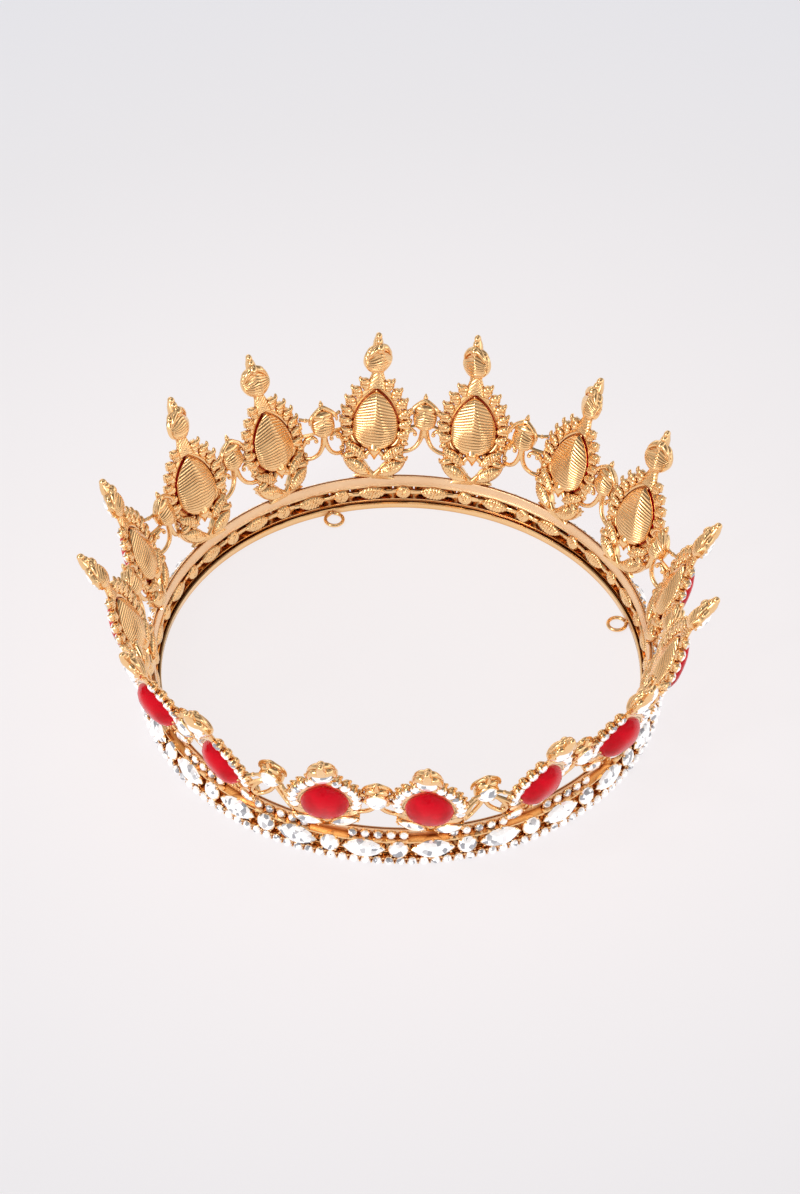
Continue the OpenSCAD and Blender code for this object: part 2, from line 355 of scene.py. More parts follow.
def ribbed_cup(r, tip, depth, pitch, rib, lip, keel, fan, drift=0.0):
    """The back of a drop setting, bulging to -Z, with fine grooves across it.

    Its upper half has a ridge, from its tip down to drift at its widest, and the grooves rise
    towards it. In the lower half they hang in arcs. keel is how much the ridge shows, fan how
    much the grooves bend, and lip how far the cup's wall goes towards +Z.
    """
    steps, cols = 6, 37
    rows = int((r + tip) / pitch) * steps
    level = np.linspace(-r, tip, rows + 3)[1:-1][:, None]
    s = np.sin(np.linspace(-math.pi / 2, math.pi / 2, cols))[None, :]
    big = (r * r + tip * tip) / (2 * r)
    y = level + 0 * s
    for _ in range(30):
        lower = np.sqrt(np.maximum(0, r * r - np.clip(y, -r, 0) ** 2))
        upper_half = np.sqrt(np.maximum(0, big**2 - np.clip(y, 0, tip) ** 2)) - (big - r)
        x = s * np.where(y < 0, lower, np.maximum(upper_half, 0))
        rise = np.clip(level / tip + 0.35, 0, 1)
        y = np.clip(level - fan * (0.36 * rise * np.abs(x) - 0.034 * (1 - rise) * x * x), -r, tip)
    upper = np.clip(y / tip, 0, 1)
    ridge = drift * (1 - upper)
    across = np.where(s < ridge, (ridge - s) / (1 + ridge), (s - ridge) / (1 - ridge))
    mix = keel * np.clip(0.3 + upper * 2.0, 0, 1)
    across = np.sqrt(np.maximum(0, 1 - s**2)) * (1 - mix) + (1 - across**1.12) * mix
    along = np.sqrt(np.maximum(0, 1 - np.where(y < 0, (y / r) ** 2, upper**1.7)))
    fade = np.clip((1 - np.abs(s) ** 8) * 3, 0, 1) * np.clip(along * 2.5, 0, 1)
    turn = np.arange(len(level))[:, None] % steps / steps
    ribs = rib * np.minimum(1, 1.5 * np.sin(math.pi * turn)) * fade
    back = np.stack([x, y, -(depth * across * along**0.8 + ribs)], -1)
    front = back[:, ::-1].copy()
    front[..., 2] = lip
    return sheet(np.concatenate([back, front], 1))


def cup_wall(outline, low, high, thick=0.5):
    """Bezel around a stone: a rounded wall that stands on an outline."""
    soft = thick * 0.3
    return rim(outline, [
        (-thick, low), (0, low), (0.08, (low + high) / 2), (0, high - soft),
        (-soft, high), (-thick + soft, high), (-thick, high - soft),
    ])


def domed_back(outline, small, depth, wall, pitch, rib, slant):
    """The back of a stone's setting: a dome with grooves across it that widens into its wall.

    small is the dome's size as a share of the outline's.
    """
    rows = []
    for step in np.linspace(0, 1, 15):
        scale = small * math.cos(step * math.pi / 2 * 0.95)
        row = at_height(outline * scale, -depth * math.sin(step * math.pi / 2))
        lines = np.abs(np.sin(math.pi * (row[:, 0] + slant * row[:, 1]) / pitch))
        row[:, 2] -= rib * np.minimum(1, 1.5 * lines) * min(1, 3 * step)
        rows.append(row)
    rows = rows[::-1]
    rows += [at_height(outline * (small + 0.02), 0.3), at_height(outline, wall * 0.55)]
    rows += [at_height(outline, wall), at_height(outline * 0.88, wall)]
    return capped(rows)


def prongs(shape, spots, z, r, rings=6, tall=1.3):
    """Small upright beads that hold a stone, at (x, y) places."""
    for x, y in spots:
        shape.add(ball((x, y, z), r, rings, rings + 2, (1, 1, tall)))


def facet_stone(outline_of, n, levels):
    """A cut stone. outline_of(n) gives its girdle; levels are (scale, height, half a step or not).

    Neighbouring levels that are half a step apart are joined by triangles, as facets are.
    """
    fine = outline_of(2 * n)
    rings = []
    for scale, z, half in levels:
        ring = fine[1::2] if half else fine[0::2]
        rings.append((at_height(ring * scale, z), half))
    points = [at_height(fine[0::2], 0)] + [ring for ring, _ in rings]
    halves = [False] + [half for _, half in rings]
    j = np.arange(n)
    j2 = (j + 1) % n
    quads, triangles = [], []
    for k in range(len(points) - 1):
        a, b = k * n, (k + 1) * n
        if halves[k] == halves[k + 1]:
            quads.append(np.column_stack([a + j, a + j2, b + j2, b + j]))
        elif halves[k + 1]:
            triangles.append(np.column_stack([a + j, a + j2, b + j]))
            triangles.append(np.column_stack([a + j2, b + j2, b + j]))
        else:
            triangles.append(np.column_stack([a + j, b + j2, b + j]))
            triangles.append(np.column_stack([a + j, a + j2, b + j2]))
    top = (len(points) - 1) * n
    table = (top + j)[None, :]
    under = j[::-1][None, :]
    faces = ([np.vstack(quads)] if quads else []) + ([np.vstack(triangles)] if triangles else [])
    return np.vstack(points), faces + [table, under]


def round_stone(r, height):
    """Small brilliant: a girdle, two rows of facets and a table."""
    return facet_stone(lambda n: round_outline(r, n), 8, [
        (1.0, height * 0.22, False), (0.86, height * 0.62, True), (0.52, height, False),
    ])


def marquise_stone(length, width, height):
    return facet_stone(lambda n: marquise_outline(length, width, n), 12, [
        (1.0, height * 0.25, False), (0.8, height * 0.66, True), (0.48, height, False),
    ])


def drop_stone(r, tip, height):
    return facet_stone(lambda n: drop_outline(r, tip, n), 12, [
        (1.0, height * 0.22, False), (0.84, height * 0.6, True), (0.62, height * 0.86, False),
        (0.42, height, True),
    ])


# ---------- Materials ----------

# Texture scales, in cells to a metre
PATCHES, SCUFFS, GRAIN, CRYSTAL_CELLS, CRYSTAL_FILM, RED_GLOW, RED_FILM = 90, 420, 5000, 700, 300, 160, 260
PAINTED_SHADE_REACH = 0.0016  # how near, in metres, other metal has to be for painted shade in a recess
GRAIN_HEIGHT = 0.00006


def new_material(name):
    made = bpy.data.materials.new(name)
    made.use_nodes = True
    tree = made.node_tree
    tree.nodes.clear()
    out = tree.nodes.new("ShaderNodeOutputMaterial")
    shader = tree.nodes.new("ShaderNodeBsdfPrincipled")
    tree.links.new(shader.outputs["BSDF"], out.inputs["Surface"])
    where = tree.nodes.new("ShaderNodeTexCoord")
    return made, tree, shader, where


def noise(tree, where, scale, detail=3.0):
    node = tree.nodes.new("ShaderNodeTexNoise")
    node.inputs["Scale"].default_value = scale
    node.inputs["Detail"].default_value = detail
    node.inputs["Roughness"].default_value = 0.55
    tree.links.new(where.outputs["Object"], node.inputs["Vector"])
    return node


def ramp(tree, source, stops):
    node = tree.nodes.new("ShaderNodeValToRGB")
    tree.links.new(source, node.inputs["Fac"])
    marks = node.color_ramp.elements
    while len(marks) < len(stops):
        marks.new(0.5)
    for mark, (place, colour) in zip(marks, stops):
        mark.position = place
        mark.color = (*colour, 1)
    return node


def vary_roughness(tree, shader, texture, low, high):
    """Roughness between two values, as the texture goes."""
    spread = tree.nodes.new("ShaderNodeMapRange")
    spread.inputs["To Min"].default_value = low
    spread.inputs["To Max"].default_value = high
    tree.links.new(texture.outputs["Fac"], spread.inputs["Value"])
    tree.links.new(spread.outputs["Result"], shader.inputs["Roughness"])


def colour_with_painted_glow(tree, shader, shade, strength):
    """Colour of a stone, which also glows in the same colour: a painted glow in place of light its foil
    throws back.
    """
    tree.links.new(shade.outputs["Color"], shader.inputs["Base Color"])
    tree.links.new(shade.outputs["Color"], shader.inputs["Emission Color"])
    shader.inputs["Emission Strength"].default_value = strength


def gold_material(name, base, deep, rough_low, rough_high, bump):
    """Plated gold: two tones in soft patches, with painted shade of colour deep in its recesses, and a fine
    cast skin.
    """
    made, tree, shader, where = new_material(name)
    patches = noise(tree, where, PATCHES)
    warm = tuple(0.85 * c + 0.15 * d for c, d in zip(base, deep))
    tone = ramp(tree, patches.outputs["Fac"], [(0.35, base), (0.7, warm)])
    # Painted shade: where other metal is near, the colour runs to deep, a dark orange
    recess_shade = tree.nodes.new("ShaderNodeAmbientOcclusion")
    recess_shade.samples = 6
    recess_shade.inputs["Distance"].default_value = PAINTED_SHADE_REACH
    depth = ramp(tree, recess_shade.outputs["AO"], [(0.1, (0, 0, 0)), (0.8, (1, 1, 1))])
    mix = tree.nodes.new("ShaderNodeMix")
    mix.data_type = "RGBA"
    mix.inputs["A"].default_value = (*deep, 1)
    tree.links.new(depth.outputs["Color"], mix.inputs["Factor"])
    tree.links.new(tone.outputs["Color"], mix.inputs["B"])
    tree.links.new(mix.outputs["Result"], shader.inputs["Base Color"])
    shader.inputs["Metallic"].default_value = 1.0
    vary_roughness(tree, shader, noise(tree, where, SCUFFS, 4), rough_low, rough_high)
    skin = tree.nodes.new("ShaderNodeBump")
    skin.inputs["Strength"].default_value = bump
    skin.inputs["Distance"].default_value = GRAIN_HEIGHT
    tree.links.new(noise(tree, where, GRAIN, 2).outputs["Fac"], skin.inputs["Height"])
    tree.links.new(skin.outputs["Normal"], shader.inputs["Normal"])
    return made


def crystal_material(name, light, painted_dark_facet, metallic, rough):
    """Foil-backed stone with painted light: most facets are painted white and glow a little, and a few
    carry a painted dark reflection.
    """
    made, tree, shader, where = new_material(name)
    cells = tree.nodes.new("ShaderNodeTexVoronoi")
    cells.inputs["Scale"].default_value = CRYSTAL_CELLS
    tree.links.new(where.outputs["Object"], cells.inputs["Vector"])
    # Painted highlights and reflections: each small cell is white or dark, and glows in that colour
    colour_with_painted_glow(tree, shader, ramp(tree, cells.outputs["Color"], [(0.24, painted_dark_facet), (0.36, light)]), 0.3)
    shader.inputs["Metallic"].default_value = metallic
    vary_roughness(tree, shader, noise(tree, where, CRYSTAL_FILM), rough, rough + 0.06)
    shader.inputs["Coat Weight"].default_value = 0.6
    shader.inputs["Coat Roughness"].default_value = 0.03
    shader.inputs["IOR"].default_value = 1.6
    return made


def red_material():
    """Deep red crystal over foil, in two shades that run into each other, with a painted glow of its own.
    """
    made, tree, shader, where = new_material("red_crystal")
    glow = noise(tree, where, RED_GLOW, 2)
    shades = [(0.3, (0.36, 0.0, 0.004)), (0.62, (0.62, 0.001, 0.012))]
    # Painted glow: the stone gives off a little light in its own colours
    colour_with_painted_glow(tree, shader, ramp(tree, glow.outputs["Fac"], shades), 0.15)
    vary_roughness(tree, shader, noise(tree, where, RED_FILM), 0.16, 0.28)
    shader.inputs["IOR"].default_value = 1.4
    shader.inputs["Specular IOR Level"].default_value = 0.16
    return made


# The second gold colour is painted shade, put into the recesses
GOLD_LIGHT, GOLD_PAINTED_SHADE = (1.0, 0.665, 0.335), (0.50, 0.18, 0.035)
gold = gold_material("polished_gold", GOLD_LIGHT, GOLD_PAINTED_SHADE, 0.1, 0.2, 0.06)
satin_gold = gold_material("satin_gold", (1.0, 0.70, 0.43), GOLD_PAINTED_SHADE, 0.32, 0.46, 0.35)
clear = crystal_material("clear_crystal", (0.96, 0.96, 0.97), (0.30, 0.31, 0.34), 0.3, 0.05)
red = red_material()
GOLDS = [gold, satin_gold]
SATIN = 1  # place of satin_gold in GOLDS

# ---------- Placing ----------


def band_matrix(azimuth, r, z, lean=0.0, x=0.0):
    """From a flat face (X sideways, Y up its lean, Z outwards) to a place on the crown, in millimetres.

    The place is r from the crown's axis, at height z, and moved along the face by x.
    """
    a = math.radians(azimuth)
    outward = Vector((math.sin(a), math.cos(a), 0))
    side = Vector((-math.cos(a), math.sin(a), 0))
    up = outward * math.sin(lean) + Vector((0, 0, math.cos(lean)))
    out = outward * math.cos(lean) - Vector((0, 0, math.sin(lean)))
    place = Matrix((side, up, out)).transposed().to_4x4()
    place.translation = outward * r + Vector((0, 0, z)) - side * x
    return place


def spire_matrix(k):
    """Place of spire k, from 1 to 16: two stand on each flat panel."""
    side = -1 if k % 2 else 1
    return band_matrix((k - 1) // 2 * 2 * PITCH, PANEL_R, BAND_H, LEAN, side * SPIRE_SIDE)


def link_matrix(k):
    return band_matrix((k - 1) * PITCH, PANEL_R, BAND_H, LEAN)


def in_metres(place):
    """A matrix for an object whose mesh is already in metres."""
    scaled = place.copy()
    scaled.translation = place.translation * MM
    return scaled


def make_piece(name, mesh, materials, nodes, place=None, smooth=40):
    """One visible piece, in place of the CAD nodes it stands for. smooth is 0 for flat facets."""
    if not mesh.materials:
        for material in materials:
            mesh.materials.append(material)
        mesh.polygons.foreach_set("use_smooth", [smooth > 0] * len(mesh.polygons))
        if smooth:
            mesh.set_sharp_from_angle(angle=math.radians(smooth))
    piece = bpy.data.objects.new(name, mesh)
    bpy.context.scene.collection.objects.link(piece)
    if place is not None:
        piece.matrix_world = in_metres(place)
    bpy.context.view_layer.update()
    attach(piece, "root")
    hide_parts(*nodes)


def outward_faces(mesh):
    """Turns every closed shell's faces outwards."""
    work = bmesh.new()
    work.from_mesh(mesh)
    bmesh.ops.recalc_face_normals(work, faces=work.faces)
    work.to_mesh(mesh)
    work.free()
    return mesh


def make_gold(name, shape, node, place=None, smooth=40):
    make_piece(name, outward_faces(shape.mesh(name)), GOLDS, [node], place, smooth)


def make_stones(name, shape, node):
    """All the clear stones of one row, as one piece with flat facets."""
    make_piece(name, shape.mesh(name), [clear], [node], smooth=0)


# ---------- Spires ----------


def halo_spot(i):
    """Place of small setting i up the right side of a drop, and which way is out from it."""
    a = math.radians(-11.3 + 22.4 * i - i * i)
    big = (DROP_R**2 + DROP_TIP**2) / (2 * DROP_R)
    d = (big - DROP_R) * math.cos(a)
    edge = DROP_R if a < 0 else math.sqrt(d * d + 2 * DROP_R * big - DROP_R**2) - d
    r = edge + 1.9 + 0.46 * i
    return r * math.cos(a), DROP_V + r * math.sin(a), a


def small_setting(r):
    """Cup of a small stone: a domed back, a wall, and a floor for the stone."""
    levels = [(0.3, -0.65), (0.62, -0.55), (0.88, -0.3), (1.0, 0.1), (0.98, 0.8), (0.94, 1.2), (0.8, 1.1)]
    return stack(round_outline(r, 16), levels)


def halo_cup():
    """One small setting of the halo, with a claw at its corner, a bead and four prongs."""
    shape = Shape().add(small_setting(HALO_R))
    claw = [(-1.0, 0.9, 0.1), (0.2, 0.95, -0.3), (1.1, 1.0, -0.35), (1.5, 1.75, -0.25), (1.45, 2.25, -0.1)]
    shape.add(tube(curve(claw, 14), [0.5, 0.78, 0.7, 0.5, 0.22], 9))
    shape.add(ball((0.95, -0.95, -0.1), 0.6, 7, 9))
    reach = HALO_R - 0.2
    spots = [(reach * math.cos(turn), reach * math.sin(turn)) for turn in (0.9, 2.5, 4.1, 5.6)]
    prongs(shape, spots, 1.45, 0.26, 5, 1.2)
    return shape


def halo_side(shape):
    """The right-hand row of small settings, each joined to the frame, with beads under the lowest."""
    cup = halo_cup()
    for i in range(HALO):
        x, y, a = halo_spot(i)
        shape.merge(cup, Matrix.Translation((x, y, 0)))
        bridge = (x - 1.15 * math.cos(a), y - 1.15 * math.sin(a), 0.3)
        shape.add(ball(bridge, 1.25, 9, 14, (1, 1, 0.72)))
    x, y, _ = halo_spot(0)
    for dx, dy, r in ((0.1, -2.1, 1.1), (-0.8, -3.4, 0.95), (1.0, -2.7, 0.6)):
        shape.add(ball((x + dx, y + dy, 0.2), r, 8, 11, (1, 1, 0.9)))


def halo_frame(shape):
    """Frame between the drop's cup and the small settings, open below the drop, and the cup's seat."""
    outline = drop_outline(DROP_R, DROP_TIP, 144)
    top = PLATE - 0.1
    bar = [(0.45, 0.75), (0.5, 0.5), (0.75, 0.35), (1.3, 0.3), (1.9, 0.45), (2.0, top), (0.45, top)]
    seat = [(-0.6, top - 0.25), (0.9, top - 0.25), (0.9, top), (-0.6, top)]
    for part in (swept(outline, 0.585, 1.415, bar), rim(outline, seat)):
        shape.add(moved(part, 0, DROP_V))


def leaf(shape):
    """The right-hand leaf at a spire's foot: a marquise setting with a ribbed back and a rolled end."""
    length, width = LEAF_LEN, LEAF_W
    outline = marquise_outline(length, width, 72)
    back = domed_back(outline, 0.93, 1.3, PLATE + 0.1, 0.95, 0.22, -0.5)
    for part in (back, cup_wall(outline, 0.2, PLATE + 0.35)):
        shape.add(moved(part, LEAF_X, LEAF_V, 0, LEAF_SLOPE))
    c, s = math.cos(LEAF_SLOPE), math.sin(LEAF_SLOPE)
    held = outline[[4, 31, 40, 67, 0]] * 0.97
    spots = [(LEAF_X + x * c - y * s, LEAF_V + x * s + y * c) for x, y in held]
    prongs(shape, spots, PLATE + 0.35, 0.34, 5)
    x, y = LEAF_X + 0.5 * length * c, LEAF_V + 0.5 * length * s
    roll = curve([(x - 4.2, y + 0.5, 0.1), (x - 2.7, y + 1.0, -0.7), (x - 1.2, y + 0.7, -0.8),
                  (x - 0.1, y + 0.3, -0.2), (x + 0.4, y + 0.9, 0.2)], 18)
    shape.add(tube(roll, [0.5, 1.0, 1.05, 0.7, 0.3], 11))
    shape.add(ball(roll[-1], 0.36, 6, 8))


def foot_side(shape):
    """Right-hand bars of the foot, round a notch and an open diamond, with a ribbed shoulder and beads."""
    corner = (4.35, 4.9, 0.35)
    shape.add(tube([(0.2, 0.75, 0.7), (2.2, 2.8, 0.55), corner], [0.8, 0.6, 0.55], 10))
    shape.add(tube([corner, (3.1, 6.6, 0.2), (1.3, 8.5, 0.3)], [0.6, 0.75, 0.9], 10))
    shoulder = domed_back(marquise_outline(9.2, 3.8, 56), 0.95, 1.15, PLATE - 0.1, 0.95, 0.28, -0.4)
    shape.add(moved(shoulder, 5.6, 8.4, 0, math.radians(36)))
    beads = ((4.6, 5.9, -0.1, 0.8), (8.0, 8.3, -0.1, 0.85), (6.6, 6.9, 0.0, 0.6), (3.6, 8.9, 0.3, 0.9))
    for x, y, z, r in beads:
        shape.add(ball((x, y, z), r, 8, 11))


def foot_plate(shape):
    """Solid web between the two leaves, soldered to the rail."""
    half = [(0, -0.5), (5.6, -0.35), (6.0, 0.2), (4.3, 1.4), (2.4, 2.6), (1.1, 1.9), (0, 0.9)]
    points = np.array(half + [(-x, y) for x, y in half[-2:0:-1]])
    dense = curve(np.vstack([points, points[:1]]), 97)[:-1]
    middle = np.array([0, 0.4])
    levels = ((0.9, 0.0), (1.0, 0.2), (1.0, PLATE - 0.2), (0.94, PLATE))
    shape.add(capped([at_height(middle + (dense - middle) * k, z) for k, z in levels]))


def cup_tail(shape):
    """Small pointed tail under the drop's cup."""
    spine = curve([(0, 10.4, 0.5), (0, 8.8, -0.1), (0, 7.4, 0.0), (0, 5.6, 0.4)], 14)
    shape.add(tube(spine, [2.4, 2.1, 1.2, 0.2], 14))


def neck(shape):
    """Stalk between the frame and the finial, spreading over the frame's top, with slanting ribs."""
    rows = []
    a = np.arange(40) / 40 * TAU
    for t in np.linspace(0, 1, 72):
        y = DROP_V + DROP_TIP + 0.75 + t * 6.0
        half = 1.6 + 2.3 * (1 - t) ** 1.3 + 2.2 * np.clip(t - 0.82, 0, 1)
        x = half * np.cos(a)
        drop = 1.1 * (1 - t) * (x / half) ** 2
        lines = np.abs(np.sin(math.pi * (y + 0.8 * x) / 1.05))
        z = 0.7 + (0.8 + 0.22 * np.minimum(1, 1.5 * lines) * (np.sin(a) < 0)) * np.sin(a)
        rows.append(np.column_stack([x, y - drop, z]))
    shape.add(capped(rows))


def drop_setting(shape):
    """The large cup: a grooved back, and a bezel that holds the red stone."""
    back = ribbed_cup(DROP_R, DROP_TIP, 2.3, 0.98, 0.17, 1.3, keel=0.9, fan=1.0, drift=-0.35)
    wall = [(-0.25, 0.3), (0.0, 0.5), (0.1, 1.3), (-0.1, 1.5), (-0.45, 1.45), (-0.5, 0.5)]
    for part in (back, rim(drop_outline(DROP_R, DROP_TIP, 120), wall)):
        shape.add(moved(part, 0, DROP_V))
    spots = both_sides([(4.6, 6.2), (6.7, -1), (3.3, -6.0)])
    prongs(shape, [(x, DROP_V + y) for x, y in spots], 1.9, 0.45, 7)


def finial():
    """Drop-shaped finial about its own middle, with a crest of beads and a hood over its back."""
    shape = Shape()
    shape.add(ribbed_cup(FINIAL_R, FINIAL_TIP, 2.6, 1.05, 0.16, 1.0, keel=1.0, fan=1.6, drift=-0.25))
    levels = [(0.96, -0.15), (1.0, 0.25), (0.98, 0.7), (0.92, 1.2), (0.86, 1.5), (0.8, 1.55), (0.72, 1.4),
              (0.7, 1.0)]
    shape.add(stack(drop_outline(FINIAL_R, FINIAL_TIP, 72), levels))
    shape.add(ball((0, 3.1, 0.4), 3.7, 12, 20, (1.0, 0.55, 0.44)))
    prongs(shape, both_sides([(3.1, 0.4), (2.0, -2.9)]), 1.6, 0.42, tall=1.2)
    crest = BEAD_V - FINIAL_V
    hood = [(0.2, 5.0, -0.9), (1.9, 4.1, -1.1), (3.2, 2.5, -0.9), (3.9, 0.8, -0.4)]
    for side in (-1, 1):
        half = [(side * x, y, z) for x, y, z in hood]
        shape.add(tube(curve(half, 18), [1.15, 0.95, 0.65, 0.3], 10))
    for y, z, r in ((crest - 0.1, 0.1, 1.1), (crest - 1.7, -0.2, 1.25), (crest - 3.7, -0.9, 1.65)):
        shape.add(ball((0, y, z), r, 12, 18, (0.9, 1.15, 1.05)))
    shape.add(tube([(0, 4.6, 0.4), (0, 6.4, 0.4), (0, crest, 0.4)], [1.7, 1.45, 0.85], 12))
    return shape


def finial_bend(twist, out, aside):
    """Where a bent finial stands, about the middle of its stalk. The angles are in degrees."""
    stalk = FINIAL_R + 1.5
    place = Matrix.Translation((0, FINIAL_V - stalk, 0.5))
    for angle, axis in ((out, "X"), (aside, "Z"), (twist, "Y")):
        place = place @ Matrix.Rotation(math.radians(angle), 4, axis)
    return place @ Matrix.Translation((0, stalk, -0.3))


def spire_body():
    """Everything of a spire's casting up to its stalk."""
    shape, right = Shape(), Shape()
    for make in (halo_side, leaf, foot_side):
        make(right)
    shape.merge(right).merge(right, MIRROR)
    for make in (halo_frame, foot_plate, cup_tail, neck, drop_setting):
        make(shape)
    return shape


def make_spires():
    """Sixteen castings. Each finial was bent a little by hand, so each stands differently.

    Returns the finials' stones, as one shape.
    """
    body, top, gems = spire_body(), finial(), Shape()
    gem = Shape().add(drop_stone(FINIAL_R * 0.72, FINIAL_TIP * 0.7, 1.7))
    for k, bend in enumerate(FINIAL_BENDS, 1):
        place, bent = spire_matrix(k), finial_bend(*bend)
        make_gold(f"spire_casting_{k:02d}", Shape().merge(body).merge(top, bent), f"spire_{k:02d}", place)
        gems.merge(gem, place @ bent @ Matrix.Translation((0, -0.3, 1.1)))
    return gems


# ---------- Links ----------


def link_wing(reach):
    """Right half of a link: a flat scroll, its inner curl, and two bars to the next spire."""
    shape = Shape()
    v = SCROLL_V
    scroll = curve([(0.35, v + 3.8, 0.7), (0.75, v + 2.0, 0.7), (1.3, v, 0.7), (2.5, v - 2.0, 0.65),
                    (4.4, v - 3.3, 0.6), (6.4, v - 3.7, 0.5)], 34)
    shape.add(tube(scroll, [0.95, 0.8, 0.72, 0.66, 0.7], 10))
    back = curve([(6.6, v - 3.6, 0.5), (7.2, v - 2.3, 0.5), (7.4, v - 0.6, 0.5), (6.9, v + 1.0, 0.5)], 18)
    shape.add(tube(back, [0.7, 0.5, 0.6], 9))
    curl = curve([(6.9, v + 1.0, 0.4), (5.6, v + 2.7, 0.1), (4.0, v + 3.4, 0.0), (2.9, v + 3.0, 0.1),
                  (2.6, v + 2.2, 0.2)], 22)
    shape.add(tube(curl, [0.75, 0.85, 0.7, 0.5, 0.45], 9))
    low = curve([(2.3, 17.4, 0.6), (3.8, 16.9, 0.2), (reach + 1.2, 15.9, 0.3)], 10)
    shape.add(tube(low, [0.6, 0.55, 0.7], 8))
    high = curve([(2.9, 21.3, 0.6), (reach * 0.5 + 1.6, 21.3, 0.4), (reach + 0.4, 21.6, 0.5)], 8)
    shape.add(tube(high, [0.65, 0.5, 0.6], 8))
    for x, y, z, r in ((2.75, 2.15, 0.15, 0.68), (6.7, -2.2, 0.35, 0.85), (5.3, 2.0, -0.1, 0.7)):
        shape.add(ball((x, v + y, z), r, 8, 10))
    for spot, r in ((high[4], 0.7), ((reach + 0.3, 18.9, 0.1), 0.75)):
        shape.add(ball(spot, r, 7, 9))
    return shape


def link_body():
    """The link's drop setting, with a canopy over it, a tip of beads, and a stem below."""
    cup = Shape()
    outline = drop_outline(LINK_R, LINK_TIP, 64)
    back = ribbed_cup(LINK_R - 0.1, LINK_TIP - 0.2, 2.0, 0.95, 0.14, 1.2, keel=0.8, fan=1.4)
    cup.add(moved(back, 0, -0.3))
    cup.add(cup_wall(outline, 0.3, PLATE + 0.5))
    cup.add(stack(outline, [(0.9, 0.3), (1.0, 0.5), (1.0, PLATE), (0.9, PLATE + 0.1)]))
    right = [(1.7, 5.1, -0.8), (3.3, 3.7, -0.8), (4.1, 2.1, -0.6), (4.2, 1.0, -0.2)]
    left = [(-x, y, z) for x, y, z in right[::-1]]
    canopy = curve(left + [(0, 6.0, -0.8)] + right, 37)
    cup.add(tube(canopy, [0.3, 0.55, 0.62, 0.7, 0.62, 0.55, 0.3], 9))
    cup.add(ball((0, 3.2, 0.1), 3.5, 12, 20, (1, 0.58, 0.45)))
    for side in (-1, 1):
        cup.add(ball((side * 0.75, 5.5, -0.6), 0.7, 8, 10, (0.9, 1.2, 1)))
    cup.add(ball((0, 6.6, 0.1), 0.85, 8, 10, (0.85, 1.3, 0.9)))
    cup.add(tube([(0, 5.3, 0.2), (0, 6.9, 0.2), (0, 7.9, 0.2)], [0.9, 0.6, 0.25], 9))
    prongs(cup, both_sides([(3.1, 0.4), (1.9, -2.9)]), PLATE + 0.5, 0.4)
    stem = [(0, y, 0.75) for y in np.linspace(LINK_V - 2.7, SCROLL_V + 0.8, 12)]
    shape = Shape().merge(cup, Matrix.Translation((0, LINK_V, 0)))
    return shape.add(tube(stem, [1.35, 1.1, 0.85, 0.2], 10))


def link_shape(across_joint):
    """A link inside a panel is flat. One across the joint of two panels has its wings swept out."""
    reach, sweep = (7.0, math.radians(28)) if across_joint else (4.4, 0.0)
    wing, out = link_wing(reach), Matrix.Rotation(-sweep, 4, "Y")
    return link_body().merge(wing, out).merge(wing, MIRROR @ out)


def make_links():
    """Sixteen links, every second one across a joint of panels. Returns their stones, as one shape."""
    inside = outward_faces(link_shape(False).mesh("link_inside"))
    across = outward_faces(link_shape(True).mesh("link_across"))
    gem = Shape().add(moved(drop_stone(LINK_R - 0.45, LINK_TIP - 0.8, 2.0), 0, LINK_V, 1.5))
    gems = Shape()
    for k in range(1, SPIRES + 1):
        mesh = inside if k % 2 else across
        place = link_matrix(k)
        make_piece(f"link_casting_{k:02d}", mesh, GOLDS, [f"link_{k:02d}"], place)
        gems.merge(gem, place)
    return gems


# ---------- Band ----------


def make_base_ring():
    """Foot strip: a thin bright edge inside, and a row of small settings round its outside."""
    top, ledge = FOOT_H - 0.4, FOOT_OUT - BAND_R
    profile = [
        (0.05, 0.12), (0.0, 0.35), (0.12, top - 0.6), (0.0, top - 0.3), (0.1, top - 0.05),
        (0.45, top + 0.06), (0.75, top - 0.2), (0.9, 1.1), (1.5, 0.9), (1.9, FOOT_H - 0.6),
        (2.4, FOOT_H - 0.2), (3.8, FOOT_H - 0.1), (ledge - 0.8, FOOT_H - 0.5), (ledge - 0.15, FOOT_H - 0.7),
        (ledge - 0.1, 0.3), (ledge - 0.4, 0.0), (0.4, 0.0),
    ]
    shape, stones = Shape(), Shape()
    shape.add(lathe([(BAND_R + out, z) for out, z in profile], 360))
    levels = [(0.9, -0.5), (1.0, -0.2), (1.0, 0.2), (0.9, 0.3)]
    cup = Shape().add(stack(round_outline(FOOT_STONE_R + 0.08, 12), levels))
    prongs(cup, [(1.66, -0.85), (1.66, 0.85)], 0.35, 0.34, 5, 1.2)
    stone = Shape().add(moved(round_stone(FOOT_STONE_R, 1.05), 0, 0, 0.25))
    for i in range(FOOT_STONES):
        place = band_matrix(i * 360 / FOOT_STONES, FOOT_OUT, FOOT_H / 2 + 0.05)
        shape.merge(cup, place)
        stones.merge(stone, place)
    make_gold("foot_strip", shape, "base_ring")
    make_stones("foot_row", stones, "foot_row_stones")


